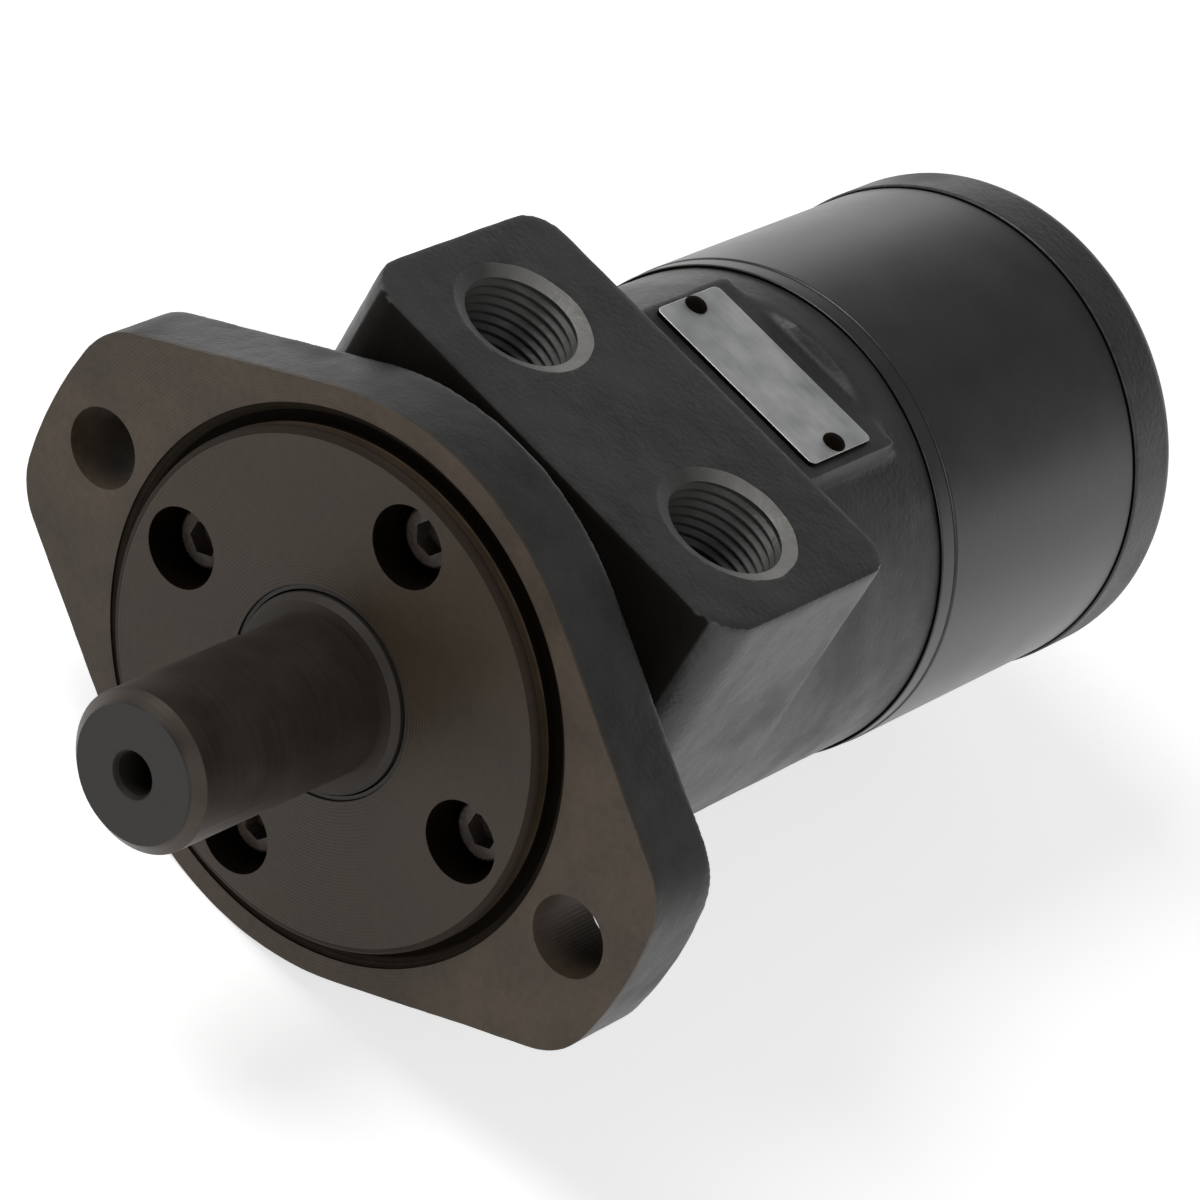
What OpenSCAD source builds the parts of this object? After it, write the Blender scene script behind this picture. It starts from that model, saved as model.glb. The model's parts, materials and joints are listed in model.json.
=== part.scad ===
// Spool-valve orbit hydraulic motor with a two-bolt mounting flange.
// The shaft's axis is Y: the shaft points to -Y, the body runs back along +Y, the ports open to +Z.
// The origin is the centre of the pilot on the flange's mounting face.

/* [Mounting flange] */
// Diameter of the pilot that centres the motor
pilot_d = 82.55; // [80:0.05:84]
// Height of the pilot above the mounting face
pilot_h = 2.8; // [2:0.1:4]
// Distance between the two mounting holes
mount_spacing = 106.4; // [104:0.1:110]
// Diameter of a mounting hole
mount_hole_d = 13.1; // [12:0.1:14.5]
// Thickness of the flange
flange_t = 14; // [12:0.1:14]
// Radius of the middle of the flange
flange_mid_r = 48; // [46:0.1:50]
// Radius of the flange's two ends about the shaft's axis
flange_end_r = 64.9; // [63:0.1:68]
// Radius of the flange's four corners
flange_corner_r = 12.5; // [6:0.5:14]
// Angle between the flange's straight edges and its long axis
flange_edge_angle = 32; // [29:0.5:34]
// Diameter of the circle of the flange screws
flange_screw_circle = 63.8; // [62:0.1:66]

/* [Shaft] */
// Diameter of the shaft's free end
shaft_d = 25.4; // [22:0.1:27]
// Distance from the mounting face to the end of the shaft
shaft_reach = 44.7; // [40:0.1:50]
// Diameter of the shaft where the seals run
journal_d = 31.75; // [30:0.05:32]
// Diameter of the spool that is one piece with the shaft
spool_d = 38; // [37.5:0.1:38.4]
// Tap drill diameter of the hole in the shaft's end
end_hole_d = 6.8; // [5:0.1:7]
// Width of the half-moon key
key_w = 6.35; // [5:0.05:7]
// Height of the key above the shaft
key_proud = 3.17; // [2:0.01:3.5]

/* [Housing] */
// Diameter of the housing's round body
housing_d = 82; // [80:0.1:83]
// Distance from the mounting face to the housing's rear face
housing_end = 101.4; // [100:0.1:104]
// Width of the port boss
boss_w = 78.6; // [76:0.1:80]
// Distance from the mounting face to the front of the port boss
boss_front = 20.8; // [20:0.1:22]
// Distance from the mounting face to the back of the port boss
boss_back = 65.4; // [62:0.1:66]
// Height of the port boss above the shaft's axis
boss_top = 43.1; // [42:0.1:46]
// Distance from the mounting face to the middle of the ports
port_y = 42.1; // [41:0.1:43]
// Distance from one port to the other
port_spacing = 46; // [44:0.1:48]
// Tap drill diameter of a port
port_d = 19; // [18:0.1:21]
// Diameter of the countersink at a port's mouth
port_mouth_d = 24; // [23:0.1:27]
// Depth of a port below the top of the boss
port_depth = 16; // [12:0.5:16]

/* [Power section] */
// Diameter of the spacer plate
spacer_d = 83; // [82.4:0.1:85]
// Thickness of the spacer plate
spacer_t = 3.6; // [3:0.1:4]
// Diameter of the gerotor ring
ring_d = 83.4; // [83:0.1:84.4]
// Width of the gerotor ring, which sets the displacement
ring_w = 52.1; // [40:0.1:60]
// Radius of the circle of the rollers' centres
roller_circle_r = 26.5; // [26.3:0.05:26.7]
// Radius of a roller
roller_r = 5; // [4.8:0.05:5.1]
// Distance of the star's centre from the shaft's axis
star_offset = 2.7; // [2.5:0.05:2.8]
// Radius of the circle of the end cap's screws
body_screw_r = 34; // [34:0.1:34.3]
// Diameter of the end cap
cap_d = 84.4; // [84:0.1:88]
// Thickness of the end cap
cap_t = 12.4; // [12:0.1:20]
// Radius of the end cap's rear edge
cap_edge_r = 3.5; // [2:0.5:4]

/* [Name plate] */
// Length of the plate across the motor
plate_l = 36; // [30:0.5:38]
// Width of the plate along the motor
plate_w = 16; // [12:0.5:18]
// Thickness of the plate
plate_t = 0.8; // [0.5:0.1:1.2]
// Height of the flat under the plate above the shaft's axis
plate_seat = 38.8; // [38.5:0.1:39.5]

/* [Hidden] */

$fn = 96;
cut = 1;                        // how far a cutter runs past the face it opens
running = 0.05;                 // gap on each side of a running fit
seat = 0.05;                    // gap between a piece and the seat that holds it

pilot_r = pilot_d / 2;
pilot_chamfer = 0.6;
relief_r = 44.2;                // outer wall of the groove round the pilot
relief_depth = 1.5;
counterbore_r = 6.55;
// Radii of a screw's shank, tapped hole, clearance hole and head, and the size of its hexagon socket
small_screw = [2.95, 3, 3.3, 5, 5];
large_screw = [3.95, 4, 4.2, 5.95, 6.35];
flange_head_h = 6;
flange_head_y = 8.6;            // where the flange screws' heads seat
flange_screw_end = 27;

journal_r = journal_d / 2;
journal_front = -4;
lip_r = journal_r + running;    // seal lips
dust_pocket_r = 19.5;
seal_pocket_r = 21.5;
race_t = 1.6;
race_inner_r = 16.3;
race_outer_r = 23.6;
bearing_recess_r = 24;
needle_r = 1;
needle_count = 24;
needle_y = flange_t + race_t + running + needle_r;
turning_race_y = needle_y + needle_r + running;
spool_front = turning_race_y + race_t;
bearing_recess_end = spool_front + 0.6;

spool_r = spool_d / 2;
bore_r = spool_r + 0.03;
spool_end = 97;
front_gallery = [33, 39];       // start and end along Y
rear_gallery = [61, 67];
gallery_r = 21.3;
meter_y = 50;                   // where the seven metering holes open into the bore
meter_r = 24.4;                 // circle of the seven passages that lead to the gerotor
meter_hole_r = 2;
spline_teeth = 12;
spline_y = 58;                  // middle of the spline in the shaft
spline_half = 8;
link_bore_r = 12.5;

ring_y = housing_end + spacer_t;
cap_y = ring_y + ring_w;
cap_end = cap_y + cap_t;
body_screw_end = 86;
cap_head_h = 5.5;
cap_head_y = cap_end - 6;       // where the end cap screws' heads seat
chambers = 7;
chamber_step = 360 / chambers;
star_lobes = chambers - 1;
face_gap = 0.05;                // oil film at each end of the star and the rollers
star_gap = 0.08;                // oil film between the star and a roller
ring_bore_r = roller_circle_r + star_offset - roller_r + star_offset + 0.3;
star_y = 134;                   // where the drive link meets the star
link_tilt = atan(star_offset / (star_y - spline_y));
link_spline_half = 6;
link_overrun = 7;               // how far the link runs past the middle of each spline

o_ring_r = 0.7;
flange_o_r = 25.9;
housing_o_r = 28.2;
ring_o_r = 40;
ring_o_section = 0.6;

pad_half_w = 20;
pad_end = 94;
neck_r = 38.5;
boss_front_corner_r = 9;
boss_back_corner_r = 6.5;
plate_y = 80.4;
pin_x = 15.9;
pin_shank_r = 1.15;
pin_hole_r = 1.2;

iron = "#26231f";
black = "#1c1d1d";
steel = "#8d9094";
dark_steel = "#4a4742";
rubber = "#15151a";
bronze = "#a9854a";

// ---- helpers --------------------------------------------------------------

// Points along an arc, in order, both ends included
function arc(centre, r, from, to, steps) =
    [for (i = [0:steps]) let (a = from + (to - from) * i / steps)
        [centre[0] + r * cos(a), centre[1] + r * sin(a)]];

// A list without its first point, which an arc before it already gave
function tail(points) = [for (i = [1:len(points) - 1]) points[i]];

// Angles of the chambers between the rollers
function chamber_angle(i) = (i + 0.5) * chamber_step;

// A flat shape in X and Z, made solid from one Y to another
module plan(from, to) {
    translate([0, to, 0]) rotate([90, 0, 0]) linear_extrude(to - from) children();
}

// A profile of [radius, Y] points, turned about the shaft's axis
module turned() {
    rotate([-90, 0, 0]) rotate_extrude() children();
}

// A round bar along Y
module rod(r, from, to, x = 0, z = 0) {
    translate([x, from, z]) rotate([-90, 0, 0]) cylinder(r = r, h = to - from);
}

// A ring with a rectangular section
module washer(inner, outer, from, to) {
    turned() translate([inner, from]) square([outer - inner, to - from]);
}

module o_ring(r, section, y) {
    turned() translate([r, y]) circle(section, $fn = 32);
}

// Children turned to an angle in the XZ plane, counted from +X towards +Z
module at_angle(a) {
    rotate([0, -a, 0]) children();
}

module around(count, first = 0) {
    for (i = [0:count - 1]) at_angle(first + i * 360 / count) children();
}

// A bar from one point to another, for slanted drillings
module drilling(r, a, b) {
    d = b - a;
    translate(a) rotate([0, acos(d[2] / norm(d)), atan2(d[1], d[0])]) cylinder(r = r, h = norm(d));
}

// A screw along Y: its shank runs back from under the head, the hexagon socket faces the front or the back
module socket_screw(size, head_from, head_to, shank_to, socket_depth, front) {
    under = front ? head_to : head_from;
    difference() {
        union() {
            rod(size[3], head_from, head_to);
            rod(size[0], min(under, shank_to), max(under, shank_to));
        }
        if (front) {
            plan(head_from - cut, head_from + socket_depth) circle(d = size[4] / cos(30), $fn = 6);
        } else {
            plan(head_to - socket_depth, head_to + cut) circle(d = size[4] / cos(30), $fn = 6);
        }
    }
}

// ---- front end ------------------------------------------------------------

// One quarter of the flange's outline, from the middle of the top to the end of the right ear
function flange_quarter() =
    let (edge = 90 - flange_edge_angle,
         inner = flange_mid_r - flange_corner_r,
         outer = flange_end_r - flange_corner_r,
         along = sqrt(outer * outer - inner * inner),
         corner = [inner * cos(edge) + along * sin(edge), inner * sin(edge) - along * cos(edge)],
         corner_end = atan2(corner[1], corner[0]))
    concat(arc([0, 0], flange_mid_r, 90, edge, 10),
           arc(corner, flange_corner_r, edge, corner_end, 6),
           tail(arc([0, 0], flange_end_r, corner_end, 0, 6)));

module flange_outline() {
    quarter = flange_quarter();
    last = len(quarter) - 1;
    polygon(concat(
        quarter,
        [for (i = [last - 1:-1:0]) [quarter[i][0], -quarter[i][1]]],
        [for (i = [1:last]) [-quarter[i][0], -quarter[i][1]]],
        [for (i = [last - 1:-1:1]) [-quarter[i][0], quarter[i][1]]]
    ));
}

module mounting_flange() {
    color(iron) difference() {
        union() {
            plan(0, flange_t) flange_outline();
            turned() polygon([
                [0, -pilot_h], [pilot_r - pilot_chamfer, -pilot_h], [pilot_r, -pilot_h + pilot_chamfer],
                [pilot_r, flange_t / 2], [0, flange_t / 2]
            ]);
        }
        washer(pilot_r, relief_r, -cut, relief_depth);
        // the bore, from the dust seal's lip back to the seal pocket
        turned() polygon([
            [0, -pilot_h - cut], [16.9, -pilot_h - cut], [16.9, -1.4], [dust_pocket_r, -1.4],
            [dust_pocket_r, 2.4], [16.3, 2.4], [16.3, 3.8], [seal_pocket_r, 3.8],
            [seal_pocket_r, flange_t + cut], [0, flange_t + cut]
        ]);
        washer(flange_o_r - 0.9, flange_o_r + 0.9, flange_t - 2 * o_ring_r, flange_t + cut);
        around(4) translate([flange_screw_circle / 2, 0, 0]) {
            rod(counterbore_r, -pilot_h - cut, flange_head_y);
            rod(small_screw[2], 0, flange_t + cut);
        }
        for (x = [-1, 1] * mount_spacing / 2) rod(mount_hole_d / 2, -cut, flange_t + cut, x);
    }
}

module flange_screws() {
    color(dark_steel) around(4) translate([flange_screw_circle / 2, 0, 0])
        socket_screw(small_screw, flange_head_y - flange_head_h, flange_head_y, flange_screw_end, 3, true);
}

module dust_seal() {
    color(rubber) turned() polygon([
        [dust_pocket_r - seat, -1.3], [dust_pocket_r - seat, 2.3], [16.6, 2.3], [lip_r, 1.2],
        [lip_r, 0.2], [16.2, -2.4], [16.8, -2.4], [16.8, -1.3]
    ]);
}

module shaft_seal() {
    color(rubber) turned() polygon([
        [seal_pocket_r - seat, 4], [seal_pocket_r - seat, 9], [18.6, 9], [18.2, 6.4],
        [17.2, 8.6], [lip_r, 8.2], [lip_r, 6], [16.8, 4]
    ]);
}

module seal_backup_washer() {
    color(steel) washer(race_inner_r, seal_pocket_r - seat, 9.1, flange_t - seat);
}

module flange_o_ring() {
    color(rubber) o_ring(flange_o_r, o_ring_r, flange_t - o_ring_r);
}

module fixed_thrust_race() {
    color(steel) washer(race_inner_r, race_outer_r, flange_t, flange_t + race_t);
}

module needle_cage() {
    slot_w = 2 * (needle_r + running);
    color(bronze) difference() {
        washer(17, 23, needle_y - 0.55, needle_y + 0.55);
        around(needle_count) translate([17.5, needle_y - 2, -slot_w / 2]) cube([5, 4, slot_w]);
    }
}

module thrust_needles() {
    color(steel) around(needle_count) translate([17.6, needle_y, 0])
        rotate([0, 90, 0]) cylinder(r = needle_r, h = 4.8, $fn = 32);
}

module turning_thrust_race() {
    color(steel) washer(journal_r + seat, race_outer_r, turning_race_y, spool_front);
}

// ---- shaft and spool ------------------------------------------------------

// The half-moon seat and the key share this disc, whose middle lies outside the shaft
key_disc_r = 12.7;
key_y = -24;
key_depth = 7.95;
key_centre_z = -(shaft_d / 2 - key_depth) - key_disc_r;

module key_disc(r, w) {
    translate([-w / 2, key_y, key_centre_z]) rotate([0, 90, 0]) cylinder(r = r, h = w);
}

// The toothed hole of a spline, as a flat shape
module spline_hole() {
    circle(9);
    for (i = [0:spline_teeth - 1]) rotate(i * 360 / spline_teeth) translate([0, -1.45]) square([10.4, 2.9]);
}

// The toothed end of the drive link, as a flat shape
module spline_end() {
    circle(8.5);
    for (i = [0:spline_teeth - 1]) rotate(i * 360 / spline_teeth) translate([0, -1.1]) square([9.9, 2.2]);
}

module output_shaft() {
    tip = shaft_d / 2;
    tip_chamfer = 1.9;
    slot_w = 4.2;
    floor_r = 16;
    color(dark_steel) difference() {
        turned() polygon([
            [0, -shaft_reach], [tip - tip_chamfer, -shaft_reach],
            [tip, -shaft_reach + tip_chamfer], [tip, journal_front],
            [journal_r - 1, journal_front], [journal_r, journal_front + 1], [journal_r, spool_front],
            [spool_r, spool_front], [spool_r, spool_end], [0, spool_end]
        ]);
        key_disc(key_disc_r + seat, key_w + 2 * seat);
        rod(end_hole_d / 2, -shaft_reach - cut, -shaft_reach + 21);
        turned() polygon([
            [0, -shaft_reach - cut], [end_hole_d / 2 + 0.9, -shaft_reach - cut],
            [end_hole_d / 2, -shaft_reach + 0.9], [0, -shaft_reach + 0.9]
        ]);
        // the two oil grooves, and the slots that reach from each towards the other
        for (g = [front_gallery, rear_gallery]) washer(floor_r, spool_r + cut, g[0] + 1, g[1] - 1);
        around(star_lobes) translate([floor_r, front_gallery[1] - 3, -slot_w / 2]) cube([5, 21, slot_w]);
        around(star_lobes, 180 / star_lobes)
            translate([floor_r, rear_gallery[0] - 18, -slot_w / 2]) cube([5, 21, slot_w]);
        plan(spline_y - spline_half - 1, spline_y + spline_half + 1) spline_hole();
        rod(link_bore_r, spline_y + spline_half, spool_end + cut);
    }
}

module shaft_key() {
    color(steel) intersection() {
        key_disc(key_disc_r, key_w);
        translate([-10, key_y - 20, -shaft_d / 2 - key_proud]) cube([20, 40, 20]);
    }
}

// ---- housing --------------------------------------------------------------

// The port boss seen from above
function boss_outline() =
    let (near_r = boss_front_corner_r, far_r = boss_back_corner_r, x = boss_w / 2,
         near = boss_front + near_r, far = boss_back - far_r)
    concat(arc([x - near_r, near], near_r, -90, 0, 6), arc([x - far_r, far], far_r, 0, 90, 6),
           arc([far_r - x, far], far_r, 90, 180, 6), arc([near_r - x, near], near_r, 180, 270, 6));

module port(x) {
    mouth_depth = (port_mouth_d - port_d) / 2;
    translate([x, port_y, boss_top]) {
        translate([0, 0, -port_depth]) cylinder(d = port_d, h = port_depth + cut);
        translate([0, 0, -mouth_depth]) cylinder(d1 = port_d, d2 = port_mouth_d, h = mouth_depth);
        cylinder(d = port_mouth_d, h = cut);
    }
}

module valve_housing() {
    pad_l = pad_end - boss_back;
    color(black) difference() {
        union() {
            rod(neck_r, flange_t, boss_front + cut);
            rod(housing_d / 2, boss_front, housing_end);
            linear_extrude(boss_top) polygon(boss_outline());
            translate([-pad_half_w, boss_back - cut, 20])
                cube([2 * pad_half_w, pad_l + cut, plate_seat - 20]);
        }
        translate([-pad_half_w, boss_back, plate_seat]) cube([2 * pad_half_w, pad_l, 10]);
        rod(bore_r, flange_t - cut, housing_end + cut);
        rod(bearing_recess_r, flange_t - cut, bearing_recess_end);
        for (g = [front_gallery, rear_gallery]) rod(gallery_r, g[0], g[1]);
        for (x = [-1, 1] * port_spacing / 2) port(x);
        drilling(3, [-22, 40, 29], [-12, 36, 12]);
        drilling(3, [22, 46, 29], [12, 63.5, 12]);
        around(chambers, chamber_angle(0)) {
            translate([bore_r - cut, meter_y, 0]) rotate([0, 90, 0])
                cylinder(r = 1.8, h = meter_r - bore_r + cut);
            rod(meter_hole_r, meter_y - 2, housing_end + cut, meter_r);
            rod(large_screw[1], body_screw_end - 3, housing_end + cut, body_screw_r);
        }
        around(4) rod(small_screw[1], flange_t - cut, flange_screw_end + 2, flange_screw_circle / 2);
        washer(housing_o_r - 0.9, housing_o_r + 0.9, housing_end - 2 * o_ring_r, housing_end + cut);
        for (x = [-1, 1] * pin_x) translate([x, plate_y, plate_seat - 6])
            cylinder(r = pin_hole_r, h = 6 + cut, $fn = 32);
    }
}

module housing_o_ring() {
    color(rubber) o_ring(housing_o_r, o_ring_r, housing_end - o_ring_r);
}

module name_plate() {
    color("#b9bcbe") difference() {
        translate([-plate_l / 2, plate_y - plate_w / 2, plate_seat]) cube([plate_l, plate_w, plate_t]);
        for (x = [-1, 1] * pin_x) translate([x, plate_y, plate_seat - cut])
            cylinder(r = pin_hole_r, h = plate_t + 2 * cut, $fn = 32);
    }
}

module plate_pins() {
    head = plate_seat + plate_t;
    color(dark_steel) for (x = [-1, 1] * pin_x) translate([x, plate_y, 0]) {
        translate([0, 0, head - 5.5]) cylinder(r = pin_shank_r, h = 5.5, $fn = 32);
        translate([0, 0, head]) rotate_extrude($fn = 32)
            polygon([[0, 0], [1.9, 0], [1.9, 0.3], [1.1, 0.9], [0, 1]]);
    }
}

// ---- power section --------------------------------------------------------

module body_holes() {
    for (i = [0:chambers - 1]) rotate(chamber_angle(i)) translate([body_screw_r, 0]) circle(large_screw[2]);
}

module spacer_plate() {
    color(black) plan(housing_end, ring_y) difference() {
        circle(spacer_d / 2);
        circle(13);
        body_holes();
        for (i = [0:chambers - 1]) rotate(chamber_angle(i)) translate([meter_r, 0]) circle(meter_hole_r);
    }
}

module gerotor_ring() {
    groove = ring_o_section + 0.1;
    color(black) difference() {
        plan(ring_y, cap_y) difference() {
            circle(ring_d / 2);
            circle(ring_bore_r);
            body_holes();
            for (i = [0:chambers - 1])
                rotate(i * chamber_step) translate([roller_circle_r, 0]) circle(roller_r + running);
        }
        washer(ring_o_r - groove, ring_o_r + groove, ring_y - cut, ring_y + 2 * ring_o_section);
        washer(ring_o_r - groove, ring_o_r + groove, cap_y - 2 * ring_o_section, cap_y + cut);
    }
}

module ring_o_rings() {
    color(rubber) for (y = [ring_y + ring_o_section, cap_y - ring_o_section])
        o_ring(ring_o_r, ring_o_section, y);
}

module roller(i) {
    color(steel) at_angle(i * chamber_step)
        rod(roller_r, ring_y + face_gap, cap_y - face_gap, roller_circle_r);
}

// The star rolls inside the rollers. Seen from the star, a roller's centre runs along the curve
// r.(cos t, sin t) - e.(cos 7t, sin 7t), and the star's outline is that curve moved in by a roller's radius.
function star_point(t) =
    let (normal = [roller_circle_r * cos(t) - chambers * star_offset * cos(chambers * t),
                   roller_circle_r * sin(t) - chambers * star_offset * sin(chambers * t)],
         centre = [roller_circle_r * cos(t) - star_offset * cos(chambers * t),
                   roller_circle_r * sin(t) - star_offset * sin(chambers * t)])
    centre - normal / norm(normal) * (roller_r + star_gap);

// Steps round the star, four times closer in its tight hollows than an even spacing would be
function star_angle(step) = step - 0.75 * sin(star_lobes * step) * 180 / PI / star_lobes;

module gerotor_star() {
    color(steel) translate([star_offset, 0, 0]) plan(ring_y + face_gap, cap_y - face_gap) difference() {
        polygon([for (i = [0:179]) star_point(star_angle(i * 2))]);
        spline_hole();
    }
}

// The link tilts from the shaft's axis to the star's
module drive_link() {
    length = norm([star_offset, star_y - spline_y]);
    color(dark_steel) translate([0, spline_y, 0]) rotate([0, 0, -link_tilt]) {
        rod(7.5, -link_overrun, length + link_overrun);
        plan(-link_spline_half, link_spline_half) spline_end();
        plan(length - link_spline_half, length + link_spline_half) spline_end();
    }
}

module drive_spacer() {
    color(steel) rod(8.6, star_y + link_overrun + 1.5, cap_y - 0.2, star_offset);
}

module end_cap() {
    color(black) difference() {
        turned() {
            polygon([
                [0, cap_y], [cap_d / 2, cap_y], [cap_d / 2, cap_end - cap_edge_r],
                [cap_d / 2 - cap_edge_r, cap_end], [0, cap_end]
            ]);
            translate([cap_d / 2 - cap_edge_r, cap_end - cap_edge_r]) circle(cap_edge_r);
        }
        around(chambers, chamber_angle(0)) translate([body_screw_r, 0, 0]) {
            rod(large_screw[2], cap_y - cut, cap_end);
            rod(counterbore_r, cap_head_y, cap_end + cut);
        }
    }
}

module end_cap_screws() {
    color(dark_steel) around(chambers, chamber_angle(0)) translate([body_screw_r, 0, 0])
        socket_screw(large_screw, cap_head_y, cap_head_y + cap_head_h, body_screw_end, 3.2, false);
}

mounting_flange();
flange_screws();
dust_seal();
shaft_seal();
seal_backup_washer();
flange_o_ring();
fixed_thrust_race();
needle_cage();
thrust_needles();
turning_thrust_race();
output_shaft();
shaft_key();
valve_housing();
housing_o_ring();
spacer_plate();
gerotor_ring();
ring_o_rings();
roller(0);  // roller_1
roller(1);  // roller_2
roller(2);  // roller_3
roller(3);  // roller_4
roller(4);  // roller_5
roller(5);  // roller_6
roller(6);  // roller_7
gerotor_star();
drive_link();
drive_spacer();
end_cap();
end_cap_screws();
name_plate();
plate_pins();
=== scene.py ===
# %% [markdown]
# # A hydraulic orbit motor
#
# The motor is a row of round pieces on one axis: a cast flange with a pilot, a cast housing with two
# ports, a thin spacer, the ring of the gerotor, and an end cap. The working model of all this is
# already made, and it arrives as the frame. This file gives each piece its real surface: cast skin,
# softened edges, threads, knurls and paint. The shaft's axis is Y and points to -Y, and the ports
# open to +Z. The frame is in metres. Every shape here is built in millimetres and scaled once, when
# it becomes a piece, because sizes such as 12.7 are easier to read and check than 0.0127.

import json
import math

import bmesh
import bpy
from mathutils import Matrix, Quaternion, Vector, noise


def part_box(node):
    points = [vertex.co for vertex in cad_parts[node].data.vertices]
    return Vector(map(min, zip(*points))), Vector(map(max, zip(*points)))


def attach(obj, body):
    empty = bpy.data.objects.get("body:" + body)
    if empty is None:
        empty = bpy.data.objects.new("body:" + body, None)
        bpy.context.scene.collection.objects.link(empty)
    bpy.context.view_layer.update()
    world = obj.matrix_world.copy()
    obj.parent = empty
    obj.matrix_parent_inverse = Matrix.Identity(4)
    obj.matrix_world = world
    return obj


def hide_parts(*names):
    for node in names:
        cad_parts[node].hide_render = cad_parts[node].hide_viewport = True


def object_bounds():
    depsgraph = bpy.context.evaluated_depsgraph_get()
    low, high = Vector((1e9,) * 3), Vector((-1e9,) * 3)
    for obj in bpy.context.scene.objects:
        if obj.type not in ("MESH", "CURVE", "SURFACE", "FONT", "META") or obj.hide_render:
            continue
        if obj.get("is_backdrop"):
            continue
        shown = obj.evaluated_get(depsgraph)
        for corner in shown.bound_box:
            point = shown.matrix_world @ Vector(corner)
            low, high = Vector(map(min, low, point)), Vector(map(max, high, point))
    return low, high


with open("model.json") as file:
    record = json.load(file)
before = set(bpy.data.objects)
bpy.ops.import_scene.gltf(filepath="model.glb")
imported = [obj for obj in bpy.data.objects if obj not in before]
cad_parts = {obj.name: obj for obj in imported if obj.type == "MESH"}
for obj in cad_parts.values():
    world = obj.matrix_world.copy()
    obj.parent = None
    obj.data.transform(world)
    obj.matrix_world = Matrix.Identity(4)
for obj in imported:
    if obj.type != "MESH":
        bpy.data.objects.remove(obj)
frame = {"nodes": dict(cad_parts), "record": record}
cad_low, cad_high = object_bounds()
MM = 0.001
print("the frame measures, in mm:", [round(side / MM, 1) for side in cad_high - cad_low])

# %% [markdown]
# ## Sizes
#
# A visual piece has to sit exactly where the working model has it, so its sizes are read from the
# frame: the box of each node, and the mounts in the record. Only sizes that no box shows, such as
# an edge radius, are written as numbers. RELIEF_R is one of them, the outer radius of the groove
# round the pilot. It stands here because the paint and the flange both need it.

# %% Sizes read from the frame
mounts = {mount["name"]: mount for mount in frame["record"]["mounts"]}


def box_mm(node):
    low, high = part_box(node)
    return low / MM, high / MM


flange_low, flange_high = box_mm("mounting_flange")
_, housing_high = box_mm("valve_housing")
spacer_low, spacer_high = box_mm("spacer_plate")
ring_low, ring_high = box_mm("gerotor_ring")
cap_low, cap_high = box_mm("end_cap")
plate_low, plate_high = box_mm("name_plate")
shaft_low, _ = box_mm("output_shaft")

pilot_r = mounts["pilot"]["dims"]["r_mm"]
hole_r = mounts["mounting_holes"]["dims"]["hole_r_mm"]
hole_x = mounts["mounting_holes"]["dims"]["spacing_x_mm"] / 2
port_r = mounts["port_a"]["dims"]["r_mm"]
port_x, port_y = mounts["port_b"]["pos_m"][0] / MM, mounts["port_b"]["pos_m"][1] / MM
RELIEF_R = 44.2
print("pilot radius", pilot_r, "mounting holes at", hole_x, "ports at", port_x, round(port_y, 2))

# %% [markdown]
# ## Camera
#
# The motor lies on a flat edge of its flange, so it is rolled about its own shaft. The frame stays
# upright, and the camera rolls instead. A long lens stands well back, so that the far end looks
# almost as large as the near end.

# %% Camera
AZIMUTH, ELEVATION, ROLL = math.radians(21.646), math.radians(36.487), math.radians(32.398)

camera_data = bpy.data.cameras.new("camera")
camera_data.lens, camera_data.sensor_width = 180, 36
camera = bpy.data.objects.new("camera", camera_data)
camera.location = Vector((284.3, -643.4, 560.6)) * MM
forward = Vector((
    -math.sin(AZIMUTH) * math.cos(ELEVATION),
    math.cos(AZIMUTH) * math.cos(ELEVATION),
    -math.sin(ELEVATION),
))
camera.rotation_mode = "QUATERNION"
camera.rotation_quaternion = forward.to_track_quat("-Z", "Y") @ Quaternion((0, 0, 1), ROLL)
bpy.context.scene.collection.objects.link(camera)
bpy.context.scene.camera = camera
bpy.context.scene.view_settings.view_transform = "Standard"
print("camera looks along", [round(part, 3) for part in forward])

# %% [markdown]
# ## Finishes written as sums
#
# A procedural finish is arithmetic on patterns: a bit of grain, less where the paint has run, more
# on an edge. Node by node that is long to write. One small class wraps a socket, so that
# `0.4 + 0.2 * grain` adds the Math nodes by itself. Colours go through a Mix node instead, because
# a Math node would turn them grey.

# %% A socket that can be calculated with
class Field:
    """A value that changes over a surface: one output of one node."""

    def __init__(self, finish, socket):
        self.finish, self.socket = finish, socket

    def math(self, operation, first, second=0.0):
        return self.finish.node("ShaderNodeMath", {"operation": operation}, {0: first, 1: second})

    def __add__(self, other):
        return self.math("ADD", self, other)

    def __sub__(self, other):
        return self.math("SUBTRACT", self, other)

    def __rsub__(self, other):
        return self.math("SUBTRACT", other, self)

    def __mul__(self, other):
        return self.math("MULTIPLY", self, other)

    __radd__, __rmul__ = __add__, __mul__

    def step(self, low, high):
        """0 below low, 1 above high and a smooth rise between them. With low above high it falls."""
        settings = {"interpolation_type": "SMOOTHSTEP"}
        if low < high:
            return self.finish.node("ShaderNodeMapRange", settings, {0: self, 1: low, 2: high})
        return 1 - self.step(high, low)


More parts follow.
